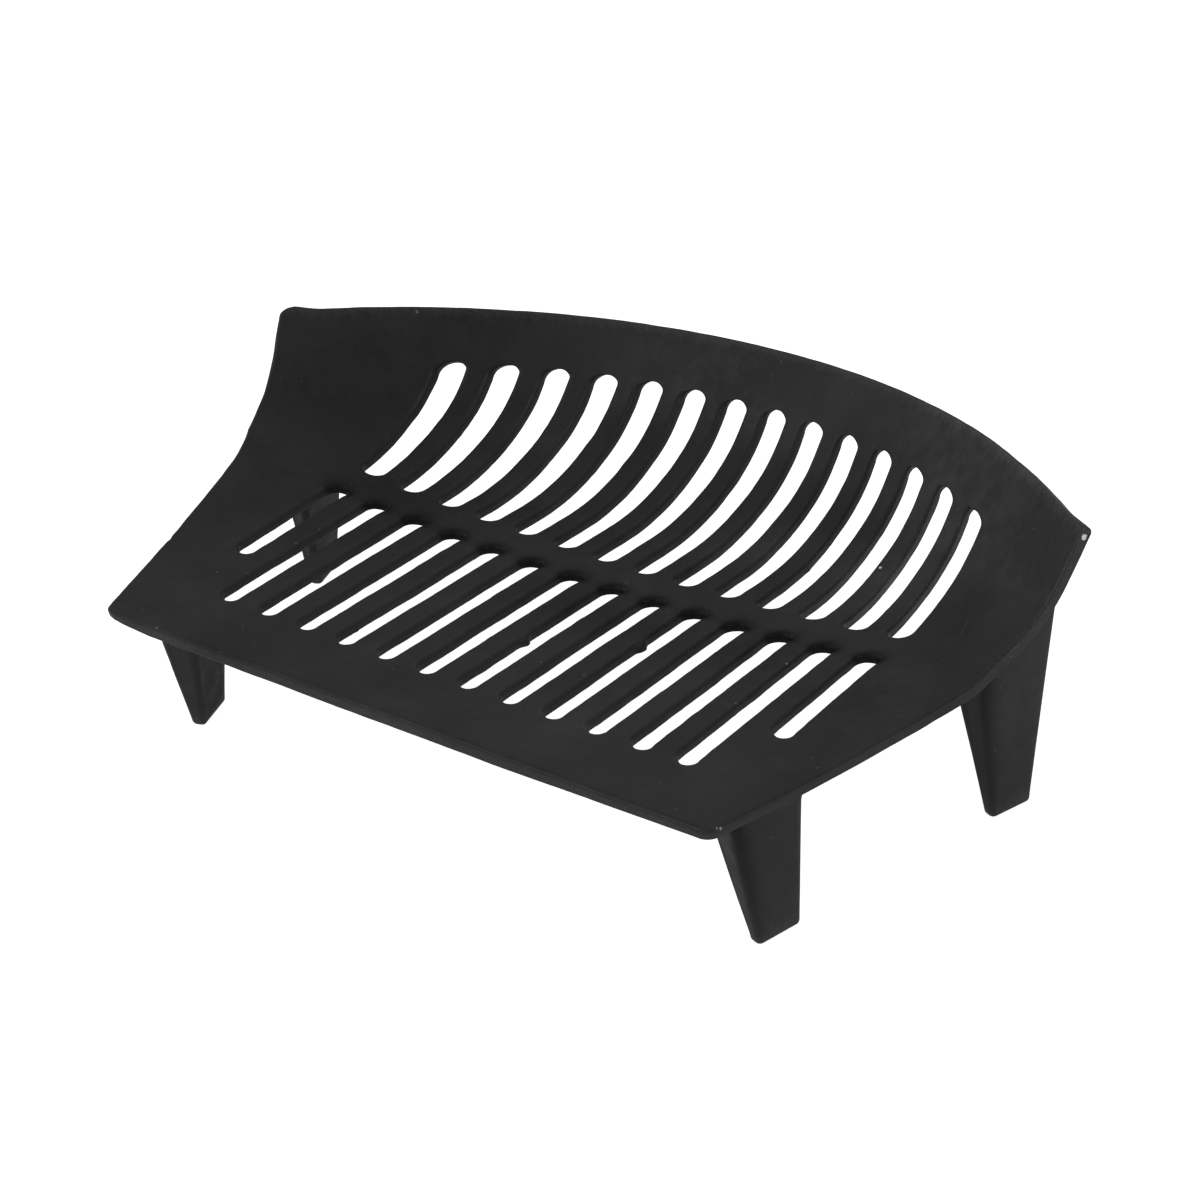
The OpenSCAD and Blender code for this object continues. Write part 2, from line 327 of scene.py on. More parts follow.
# Casting flash: (slot, row, side, place, half length, how far it stands into the slot, share at the top edge)
FLASH = [
    (6, "floor", 1, 67.5, 1.6, 0.9, 0.2),
    (7, "floor", -1, 76.5, 2.0, 1.5, 0.5),
    (9, "floor", -1, 97.3, 2.6, 1.7, 0.5),
    (10, "floor", -1, 33.5, 0.9, 0.8, 0.8),
    (3, "floor", 1, 88.0, 1.1, 0.5, 0.1),
    (8, "floor", 1, 52.0, 1.4, 0.5, 0.1),
    (10, "floor", 1, 104.0, 1.2, 0.4, 0.2),
    (4, "floor", -1, 47.0, 1.0, 0.4, 0.4),
    (5, "front", 1, 171.0, 1.5, 0.4, 0.2),
    (10, "front", -1, 183.0, 1.3, 0.4, 0.4),
    (12, "front", 1, 160.0, 1.4, 0.4, 0.3),
]


def ease(t):
    t = np.clip(t, 0, 1)
    return t * t * (3 - 2 * t)


def untangle(p, ref):
    """Smooths the points of loop p where it doubles back on itself. ref is the loop it was moved from."""
    step = np.roll(ref, -1, 0) - ref
    for _ in range(60):
        d = np.roll(p, -1, 0) - p
        bad = np.sum(d * step, axis=1) < 0.12 * np.sum(step * step, axis=1)
        if not bad.any():
            break
        near = bad | np.roll(bad, 1) | np.roll(bad, -1) | np.roll(bad, 2)
        p = np.where(near[:, None], (np.roll(p, 1, 0) + np.roll(p, -1, 0)) / 2, p)
    return p


def rough_slot(loop, i, row, face, seed):
    t = closed_tangent(loop)
    out = np.stack([t[:, 1], -t[:, 0]], -1)  # away from the slot's middle
    s = along(loop)
    total = s[-1] + 1.0
    blend = np.clip(np.minimum(s, total - s) / 4.0, 0, 1)
    w = wobble(s, seed, 0.15 if row == "floor" else 0.12) + wobble(s, seed + 50 + face, 0.07)
    # the walls on the near and right sides stand further in than those across from them
    ox, oy = out[:, 0], out[:, 1]
    near_side = ease((ox * 0.623 - oy * 0.782) / 0.6)
    far_end = np.clip(oy, 0, 1) ** 2
    if row == "floor":
        cap = float(np.interp(i, [6, 9, 12], [-1.0, -0.7, -0.35]))
        at_cap = ease(-oy / 0.85)
        if face == 0:
            lean = 0.5 - 2.22 * near_side
        else:
            own = float(np.interp(i, [6, 8, 10, 12], [0.0, -0.3, -0.2, 0.4]))
            lean = -0.12 - 1.4 * near_side + own * (ox < -0.5)
        lean = lean * (1 - at_cap) + (cap - (1.5 if face == 0 else 0.9) * np.clip(-ox, 0, 1)) * at_cap
    else:
        up = ease((loop[:, 1] - loop[:, 1].min()) / (loop[:, 1].max() - loop[:, 1].min()))
        outer = float(np.interp(i, [8, 11], [0.0, 0.4]))
        at_end = ease(oy / 0.55)
        left = ease(-ox / 0.5) * far_end * 4 * np.clip(1 - far_end, 0, 1)
        if face == 0:
            lean = -0.15 - (1.2 + outer - 0.35 * up) * near_side
            own = float(np.interp(i, [0, 6, 11, 13], [-1.45, -1.75, -1.9, -2.4]))
            lean = lean * (1 - at_end) + own * at_end
        else:
            own = float(np.interp(i, [3, 7, 10], [0.2, -0.2, -0.2]))
            lean = -0.12 - 0.8 * near_side * (1 - at_end) + 0.8 * at_end + 0.2 * left + own * ease(-ox / 0.5) * (1 - at_end)
    for _ in range(4):
        lean = (np.roll(lean, 1) + 2 * lean + np.roll(lean, -1)) / 4
    shift = w * blend + lean
    for (fi, frow, side, place, half, amount, top_share) in FLASH:
        if fi == i and frow == row:
            on_side = (loop[:, 0] - slot_x(i)) * side > FLOOR_W * 0.3
            bump = np.exp(-(((loop[:, 1] - place) / half) ** 4)) * amount * (top_share if face == 0 else 1.0)
            shift = shift - np.where(on_side, bump, 0)
    return untangle(loop + out * shift[:, None], loop)


# ---------------------------------------------------------------- the bed's mesh
class Build:
    def __init__(self):
        self.v, self.f, self.edge, self.painted_shade = [], [], [], []
        self.n = 0

    def add(self, pts, edge, painted_shade=0.0):
        self.v.append(pts)
        self.painted_shade.append(np.broadcast_to(np.asarray(painted_shade, float), (len(pts),)))
        self.edge.append(np.broadcast_to(np.asarray(edge, float), (len(pts),)))
        start = self.n
        self.n += len(pts)
        return start

    def strip(self, a, b, n, flip):
        i = np.arange(n)
        j = (i + 1) % n
        q = np.stack([a + i, a + j, b + j, b + i], -1)
        self.f.extend((q[:, ::-1] if flip else q).tolist())


def inside(poly, pts):
    x, y = pts[:, 0], pts[:, 1]
    x1, y1 = poly[:, 0], poly[:, 1]
    x2, y2 = np.roll(x1, -1), np.roll(y1, -1)
    hit = np.zeros(len(pts), bool)
    for a in range(0, len(pts), 4000):
        px, py = x[a:a + 4000, None], y[a:a + 4000, None]
        c = (y1 > py) != (y2 > py)
        with np.errstate(divide="ignore", invalid="ignore"):
            xi = (x2 - x1) * (py - y1) / (y2 - y1) + x1
        hit[a:a + 4000] = (np.sum(c & (px < xi), axis=1) % 2) == 1
    return hit


def fill(build, rings, lift_fn, spacing, flip, starts):
    """Fills the face between the outline ring and the slot rings. rings are plan loops, starts their first vertices."""
    outline = rings[0]
    low, high = outline.min(0), outline.max(0)
    xs = np.arange(low[0], high[0], spacing)
    ys = np.arange(low[1], high[1], spacing * 0.866)
    gx, gy = np.meshgrid(xs, ys)
    gx = gx + (np.arange(len(ys)) % 2)[:, None] * spacing / 2
    pts = np.stack([gx.ravel(), gy.ravel()], -1)
    # points near a loop are left out
    keep = inside(outline, pts)
    pts = pts[keep]
    for k, ring in enumerate(rings):
        lo, hi = ring.min(0) - 2, ring.max(0) + 2
        near = np.all((pts > lo) & (pts < hi), axis=1) if k else np.ones(len(pts), bool)
        idx = np.where(near)[0]
        bad = np.zeros(len(idx), bool)
        sub = pts[idx]
        for a in range(0, len(sub), 3000):
            d = np.min(np.sum((sub[a:a + 3000, None] - ring[None]) ** 2, -1), 1)
            bad[a:a + 3000] = d < (spacing * 0.52) ** 2
        if k:
            bad |= inside(ring, sub)
        pts = np.delete(pts, idx[bad], 0)
    all_pts = np.concatenate([*rings, pts])
    edges, at = [], 0
    owner = []
    for ring, start in zip(rings, starts):
        n = len(ring)
        edges += [(at + i, at + (i + 1) % n) for i in range(n)]
        owner += list(range(start, start + n))
        at += n
    first = build.add(lift_fn(pts), 0.0)
    owner += list(range(first, first + len(pts)))
    verts, _, faces, orig, _, _ = delaunay_2d_cdt([Vector(p) for p in all_pts.tolist()], edges, [], 0, 1e-5)
    tri = np.array([f for f in faces if len(f) == 3])
    vv = np.array([tuple(v) for v in verts])
    mid = vv[tri].mean(1)
    ok = inside(outline, mid)
    for ring in rings[1:]:
        lo, hi = ring.min(0), ring.max(0)
        idx = np.where(ok & np.all((mid > lo) & (mid < hi), axis=1))[0]
        ok[idx[inside(ring, mid[idx])]] = False
    tri = tri[ok]
    for v, o in zip(verts, orig):
        if not o:  # a point where two loops cross
            owner.append(build.add(lift_fn(np.array([[v[0], v[1]]])), 0.0))
            o.append(len(owner) - 1)
    back = np.array([owner[o[0]] for o in orig])
    tri = back[tri]
    area = (vv[faces[0][1]] - vv[faces[0][0]])
    # counter-clockwise in plan faces up
    a, b, c = (mid_pts for mid_pts in (vv[np.array([f for f in faces if len(f) == 3])[ok]][:, k] for k in range(3)))
    turn = (b[:, 0] - a[:, 0]) * (c[:, 1] - a[:, 1]) - (b[:, 1] - a[:, 1]) * (c[:, 0] - a[:, 0])
    tri[turn < 0] = tri[turn < 0][:, ::-1]
    if flip:
        tri = tri[:, ::-1]
    build.f.extend(tri.tolist())


def lift_top(p):
    return top_pt(p)


def lift_under(p):
    return np.concatenate([p, low_z(p)[:, None]], -1)


R_TOP, R_LOW, ROUND_N = 1.9, 0.8, 8


def edge_rings(edge, tangent, wall, lift_fn, sign, r, rn):
    """Rings that round an edge: from the support ring on the face to the start of the wall."""
    plan = edge[:, :2]
    r = np.broadcast_to(r, (len(plan),))[:, None]
    n = normal(plan[:, 0], plan[:, 1])
    into = np.cross(n, tangent) * sign
    into /= np.linalg.norm(into, axis=1, keepdims=True)
    rings = [lift_fn(untangle(plan + into[:, :2] * r * 1.25, plan))]
    for k in range(rn + 1):
        phi = math.pi / 2 * k / rn
        rings.append(lift_fn(plan + into[:, :2] * r * (1 - math.sin(phi))) + wall * r * (1 - math.cos(phi)))
    return rings


def make_bed():
    build = Build()
    top_loops, low_loops, kinds, tops, lows = [], [], [], [], []
    o = outline_loop()
    s = along(o)
    t = closed_tangent(o)
    outward = np.stack([t[:, 1], -t[:, 0]], -1)
    x, y = o[:, 0], o[:, 1]
    on_left, on_right = np.clip(-outward[:, 0] / 0.8, 0, 1), np.clip(outward[:, 0] / 0.8, 0, 1)
    on_back, on_rim = np.clip((-outward[:, 1] - 0.5) / 0.4, 0, 1), np.clip(outward[:, 1] / 0.6, 0, 1)
    # how far the rounded outline runs outside the drawn one
    left = on_left * np.interp(y, [0, 8, 30, 60, 120, 170, 205, 225], [1.4, 2.3, 2.2, 1.75, 1.3, 1.0, 0.7, 0.4]) * (1 - on_rim)
    right = on_right * np.interp(y, [0, 60, 110, 130, 148, 160, 168], [0.2, 0.2, 0.4, 1.1, 1.9, 1.6, 0.5]) * (1 - on_rim)
    low_right = on_right * np.interp(y, [0, 50, 100, 130, 180], [-0.35, -0.5, -0.05, 0.2, 0.4]) * (1 - on_rim)
    w = wobble(s, 3, 0.10)
    o1 = o + outward * (w * (1 - 0.5 * on_back - 0.6 * on_rim) + left + right - 0.1 * on_back + (0.55 + 0.15 * np.clip(x / 150, 0, 1)) * on_rim)[:, None]
    o2 = o + outward * (w * (1 - 0.5 * on_back - 0.6 * on_rim) + wobble(s, 5, 0.05) + left + low_right - 0.1 * on_back + 0.1 * on_rim)[:, None]
    cut = np.exp(-((x + 143.0) ** 2 + y ** 2) / 12.0)
    o2 = o2 - outward * (0.9 * cut)[:, None]
    # a shallow nick in the left side
    nick = np.exp(-(((y - 54.0) / 1.5) ** 2)) * (x < -120) * 0.55
    o1 = o1 - outward * nick[:, None]
    top_loops.append(o1)
    low_loops.append(o2)
    kinds.append("outline")
    ear_r = np.exp(-((x - 194.0) ** 2 + (y - o[:, 1][np.argmax(x)]) ** 2) / 20.0)
    ear_l = np.exp(-((x + 193.0) ** 2 + (y - o[:, 1][np.argmin(x)]) ** 2) / 30.0)
    top_r = 1.5 - 0.5 * on_rim - 0.8 * np.exp(-((x + 143.0) ** 2 + y ** 2) / 40.0)
    tops.append(top_r * (1 - ear_r) * (1 - 0.3 * ear_l) + 0.35 * ear_r)
    lows.append(0.6 + 0.7 * cut - 0.15 * ear_r)
    for row in ("floor", "front"):
        for i in range(SLOT_N):
            seed = i + (0 if row == "floor" else 20)
            flat = slot_loop(i, row, 0)
            t = closed_tangent(flat)
            far_end = np.clip(-t[:, 0], 0, 1) ** 2
            top_loops.append(rough_slot(flat, i, row, 0, seed))
            low_loops.append(rough_slot(slot_loop(i, row, 1), i, row, 1, seed))
            kinds.append(row)
            tops.append(R_TOP + (1.1 if row == "floor" else -1.5) * far_end)
            lows.append(np.full(len(flat), R_LOW))
    top_rings, top_starts, low_rings, low_starts = [], [], [], []
    for at, (tl, ll, kind, rt, rl) in enumerate(zip(top_loops, low_loops, kinds, tops, lows), -1):
        n = len(tl)
        sign, k = (1, 1.0) if kind == "outline" else (-1, 0.0)
        E, U = top_pt(tl), under_at(ll, k)
        W = U - E
        W = W / np.linalg.norm(W, axis=1, keepdims=True)
        te, tu = closed_tangent(E), closed_tangent(U)
        upper = edge_rings(E, te, W, lift_top, sign, rt, ROUND_N)
        lower = edge_rings(U, tu, -W, lift_under, sign, rl, 4)
        a, b = upper[-1], lower[-1]
        walls = [a + (b - a) * f for f in (0.33, 0.66)]
        seq = upper + walls + lower[::-1]
        if kind == "outline":
            # painted highlights: the rim's upper edge, the wall of the back edge and the right corner's edge are
            # painted lighter
            tip = ease((x - 172.0) / 16.0) * on_right
            edges = [1.1 * on_rim] + [1.8 * on_rim + 0.4 * on_back * (j / ROUND_N) ** 2 + 0.9 * tip for j in range(ROUND_N + 1)]
            edges += [0.75 * on_back + 0.5 * on_rim + 0.8 * tip] * 2 + [0.5 * on_back + 0.4 * tip] * 5 + [0.0]
        else:
            # painted light: the top rounding of every slot is painted a little lighter against its shade, and the left
            # walls of the last front slots on the right are painted lighter where light falls on them
            tn = closed_tangent(tl)
            bright = ease(-tn[:, 1] / 0.5)
            lit_wall = bright * (float(np.interp(at, [SLOT_N + 9.5, SLOT_N + 12], [0.0, 1.6])) if at >= SLOT_N else 0.0)
            edges = [0.05] + [0.22 * math.sin(math.pi * (j + 0.5) / (ROUND_N + 1)) + lit_wall * (j / ROUND_N) ** 3 for j in range(ROUND_N + 1)]
            edges += [lit_wall] * 2 + [lit_wall * 0.5] * 5 + [0.0]
        starts = [build.add(ring, e) for ring, e in zip(seq, edges)]
        for p, q in zip(starts[:-1], starts[1:]):
            build.strip(p, q, n, sign > 0)
        top_rings.append(upper[0][:, :2])
        low_rings.append(lower[0][:, :2])
        top_starts.append(starts[0])
        low_starts.append(starts[-1])
    fill(build, top_rings, lift_top, 2.1, False, top_starts)
    fill(build, low_rings, lift_under, 2.6, True, low_starts)
    return build


# soft lighter and darker spots on the plate, partly the paint's uneven tone and partly painted sheen and painted shade,
# such as the broad painted sheen in the right of the bend: (x, y, radius, lighter or darker)
TONE_AND_SHEEN_SPOTS = [
    (100, 181, 27, 0.95), (40, 186, 20, 0.39), (124, 160, 14, 0.28), (-46, 81, 14, 0.39),
    (-122, 60, 12, 0.25), (-36, 34, 14, 0.31), (-7, 3, 12, 0.31), (59, 27, 23, 0.46),
    (127, 17, 24, 0.31), (1, 104, 18, -0.42), (28, 107, 14, -0.28), (84, 106, 15, -0.42),
    (-153, 174, 22, -0.18), (-122, 175, 14, -0.17), (-153, 94, 14, -0.17), (-99, 108, 14, -0.18),
    (144, 88, 16, -0.18), (-137, 9, 12, -0.17), (-76, 203, 18, 0.17), (33, 255, 20, 0.21),
    (-84, -8, 14, -0.25), (46, 113, 14, -0.28), (-92, 130, 14, -0.2), (-134, 193, 14, -0.15), (-11, 243, 14, -0.2),
    (1, 167, 15, 0.28), (50, 193, 13, 0.25), (122, 126, 12, 0.22), (89, 11, 14, 0.2), (-148, 128, 13, 0.22), (-59, 175, 12, 0.16), (-81, -11, 12, -0.12),
    (154, 133, 8, -0.25), (155, 149, 8, -0.25), (154, 165, 9, -0.15), (135, 167, 9, 0.12),
]


def bed_tone(co):
    out = np.zeros(len(co))
    for x0, y0, r, amount in TONE_AND_SHEEN_SPOTS:
        d2 = (co[:, 0] - x0) ** 2 + (co[:, 1] - y0) ** 2
        out += amount * np.exp(-d2 / r ** 2)
    return np.clip(out, -0.5, 1.1)


def bed_painted_shade(co):
    """Painted shade at the far ends of the floor slots, where their end walls lie in shadow, 0 to 1."""
    out = np.zeros(len(co))
    for i in range(SLOT_N):
        x0 = slot_x(i)
        yc = FLOOR_END - BAND_BOW * (x0 / 100) ** 2 - FLOOR_W / 2
        near = (abs(co[:, 0] - x0) < 14) & (abs(co[:, 1] - yc) < 16)
        d = np.hypot(co[near, 0] - x0, np.maximum(co[near, 1] - yc, 0)) - FLOOR_W / 2
        behind = ease((co[near, 1] - yc + 4.5) / 6.5)
        painted_dark = np.interp(d, [-3, -2, -1, 0.5, 1, 2, 3, 4, 5, 7, 8], [0.72, 0.8, 0.95, 0.97, 0.9, 0.66, 0.48, 0.36, 0.24, 0.08, 0])
        out[near] = np.maximum(out[near], painted_dark * behind)
    return out


# ---------------------------------------------------------------- legs
REAR_TOP = [[139.2, 17.4], [155.6, 39.5], [131.5, 55.5], [122.4, 23.4]]
REAR_FOOT = [[140.2, 29.8], [146.0, 50.6], [139.6, 50.8], [133.9, 32.0]]
FRONT_TOP = [[174.5, 131.1], [189.6, 157.4], [165.0, 172.7], [160.0, 129.3]]
FRONT_FOOT = [[172.7, 140.2], [179.4, 159.2], [172.3, 160.5], [167.0, 142.7]]


def round_quad(q, radii, arc=8, side=7):
    q = [np.array(p, float) for p in q]
    out, corner, first = [], [], []
    ends = []
    for i in range(4):
        a, b, c = q[i - 1], q[i], q[(i + 1) % 4]
        u = (a - b) / np.linalg.norm(a - b)
        v = (c - b) / np.linalg.norm(c - b)
        half = math.acos(max(-1, min(1, float(u @ v)))) / 2
        m = (u + v) / np.linalg.norm(u + v)
        r = radii[i]
        o = b + m * r / math.sin(half)
        p1, p2 = b + u * r / math.tan(half), b + v * r / math.tan(half)
        a1 = math.atan2(*(p1 - o)[::-1])
        a2 = math.atan2(*(p2 - o)[::-1])
        d = (a2 - a1 + math.pi) % (2 * math.pi) - math.pi
        ends.append([o + r * np.array([math.cos(a1 + d * j / arc), math.sin(a1 + d * j / arc)]) for j in range(arc + 1)])
    for i in range(4):
        out += ends[i]
        corner += [math.sin(math.pi * (j + 0.5) / (arc + 1)) for j in range(arc + 1)]
        first += [float(i in (0, 3))] * (arc + 1)
        a, b = ends[i][-1], ends[(i + 1) % 4][0]
        out += [a + (b - a) * j / side for j in range(1, side)]
        corner += [0.0] * (side - 1)
        # the first corner's band of painted shade runs a little way onto the faces beside it
        first += [(0.45 if (i in (0, 3) and j == 1) or (i in (2, 3) and j == side - 1) else 0.0) for j in range(1, side)]
    return np.array(out), np.array(corner), np.array(first)


def make_leg(top_q, foot_q, r_top, r_foot, fillet, foot_r, fold_k):
    build = Build()
    T, corner, fold = round_quad(top_q, r_top)
    F, _, _ = round_quad(foot_q, r_foot)
    n = len(T)
    turn = 1 if np.sum(T[:, 0] * np.roll(T[:, 1], -1) - np.roll(T[:, 0], -1) * T[:, 1]) > 0 else -1

    def outward(p):
        t = closed_tangent(p)
        return np.stack([t[:, 1], -t[:, 0]], -1) * turn

    nt, nf = outward(T), outward(F)
    zt = under_z(T)
    free = np.clip((half_w(T[:, 1]) - 0.8 - T[:, 0]) / (fillet * np.maximum(nt[:, 0], 0.25)), 0, 1)
    free = np.where(nt[:, 0] > 0.05, free, 1.0)
    # the flush corner has no flare, and it comes back over a few millimetres
    for _ in range(3):
        free = np.minimum(free, (np.roll(free, 1) + free + np.roll(free, -1)) / 3)
    # painted shade: the side towards the middle is painted darker
    arc, side = 8, 7
    inner = np.zeros(n)
    inner[3 * (arc + 1) + 2 * (side - 1):3 * (arc + 1) + 3 * (side - 1)] = 0.6 if fold_k < 0.7 else 0.28
    rings, edges, painted_dark = [], [], []
    for k in range(10):
        phi = math.pi / 2 * k / 9
        p = F - nf * foot_r * (1 - math.sin(phi))
        rings.append(np.concatenate([p, np.full((n, 1), foot_r * (1 - math.cos(phi)))], -1))
        edges.append(np.full(n, 0.8))
        painted_dark.append(fold * 0.1)
    length = zt - foot_r
    stops = [d for d in np.linspace(0.04, 0.90, 16)]
    for s_ in stops:
        p = F + (T - F) * s_
        z = foot_r + length * s_
        rings.append(np.concatenate([p, z[:, None]], -1))
        edges.append(corner * 0.12)
        # painted shade along the folded corner, darker towards the plate
        painted_dark.append(np.maximum(fold * (0.30 + 0.50 * s_ ** 1.3) * fold_k, inner))
    # flare under the plate
    for k in range(9):
        d = fillet * (1 - k / 8) ** 1.5
        s_ = 1 - d / length
        p = F + (T - F) * s_[:, None]
        off = (fillet - np.sqrt(np.maximum(fillet ** 2 - (fillet - d) ** 2, 0))) * free
        p = p + nt * off[:, None]
        z = under_z(p) - d
        rings.append(np.concatenate([p, z[:, None]], -1))
        edges.append(corner * 0.0)
        # painted shadow under the plate, growing into the flare
        painted_dark.append(np.maximum(np.maximum(fold * 0.75 * fold_k, inner), 0.12 * (k / 8) ** 2))
    p = rings[-1][:, :2] - nt * 0.6
    rings.append(np.concatenate([p, (under_z(p) + 1.6)[:, None]], -1))
    edges.append(np.zeros(n))
    # the ring tucked under the plate is painted fully dark as shadow
    painted_dark.append(np.ones(n))
    starts = [build.add(r, e, d) for r, e, d in zip(rings, edges, painted_dark)]
    for a, b in zip(starts[:-1], starts[1:]):
        build.strip(a, b, n, turn < 0)
    for ring, start, down in ((rings[0], starts[0], True), (rings[-1], starts[-1], False)):
        c = build.add(ring.mean(0)[None], 0.3)
        i = np.arange(n)
        tri = np.stack([np.full(n, c), start + i, start + (i + 1) % n], -1)
        if down != (turn < 0):
            tri = tri[:, ::-1]
        build.f.extend(tri.tolist())
    return build


# ---------------------------------------------------------------- objects
def to_object(build, name, mirror=False, foot_wear=False):
    co = np.concatenate(build.v)
    edge = np.concatenate(build.edge)
    painted_shade = np.concatenate(build.painted_shade) if foot_wear else bed_painted_shade(co)
    faces = build.f
    if mirror:
        co = co * np.array([-1, 1, 1])
        faces = [f[::-1] for f in faces]
    shift = cast_shift(co)
    if foot_wear:
        shift *= np.clip(co[:, 2:3] / 4.0, 0, 1)  # the soles stay flat on the ground
    co = co + shift
    mesh = bpy.data.meshes.new(name)
    world = (co - np.array([0, MID_Y, 0])) / 1000.0
    inset = 0.00002
    world = np.clip(world, np.array(list(cad_low)) + [inset, inset, 0], np.array(list(cad_high)) - inset)
    mesh.from_pydata(world.tolist(), [], faces)
    mesh.update()
    mesh.shade_smooth()
    a = mesh.attributes.new("edge", "FLOAT", "POINT")
    a.data.foreach_set("value", edge.astype(np.float32))
    wear = np.zeros(len(co))
    if foot_wear:
        wear = np.clip(1 - (co[:, 2] - 1.5) / 9.0, 0, 1) ** 1.5
    b = mesh.attributes.new("wear", "FLOAT", "POINT")
    b.data.foreach_set("value", wear.astype(np.float32))
    c = mesh.attributes.new("painted_shade", "FLOAT", "POINT")
    c.data.foreach_set("value", painted_shade.astype(np.float32))
    tone = np.zeros(len(co)) if foot_wear else bed_tone(co)
    d = mesh.attributes.new("tone", "FLOAT", "POINT")
    d.data.foreach_set("value", tone.astype(np.float32))
    ob = bpy.data.objects.new(name, mesh)
    bpy.context.scene.collection.objects.link(ob)
    return ob


# ---------------------------------------------------------------- material
def new_material(name):
    m = bpy.data.materials.new(name)
    m.use_nodes = True
    nt = m.node_tree
    nt.nodes.clear()
    return m, nt


def add(nt, kind, **props):
    node = nt.nodes.new(kind)
    for k, v in props.items():
        if k in node.bl_rna.properties.keys():
            setattr(node, k, v)
        else:
            node.inputs[k].default_value = v
    return node


# fine scratches on the plate: (from, to, width, shade)
SCRATCHES = [((156.6, 145.0), (154.1, 154.5), 0.45, 0.045), ((169.0, 196.0), (176.0, 172.0), 0.5, 0.008)]
# Bare or chipped spots: (x, y, z, radius, shade) in millimetres from the back edge's middle
CHIPS = [
    (143.2, 3.9, 70.3, 0.55, 0.30),
    (144.3, 4.9, 70.2, 0.60, 0.34),
    (124.0, 190.9, 77.5, 0.7, 0.25),
    (97.3, 185.3, 65.6, 0.8, 0.9),
    (103.5, 108.4, 66.0, 0.6, 0.30),
    (194.3, 168.1, 116.3, 1.12, 0.9),
    (-116.1, 95.3, 67.5, 0.55, 0.12), (-116.5, 81.0, 68.0, 0.5, 0.10),
    (-116.3, 51.9, 69.0, 0.5, 0.10), (-127.0, 45.3, 69.7, 0.5, 0.10),
    (22.8, 62.8, 65.8, 0.5, 0.10), (42.5, 63.5, 66.0, 0.5, 0.10),
    (103.3, 74.9, 67.4, 0.45, 0.14),
    (103.8, 80.1, 67.2, 0.4, 0.10),
    (-149.2, 205.4, 111.6, 0.7, 0.16),
    (-117.4, 1.0, 70.4, 0.6, 0.14),
]


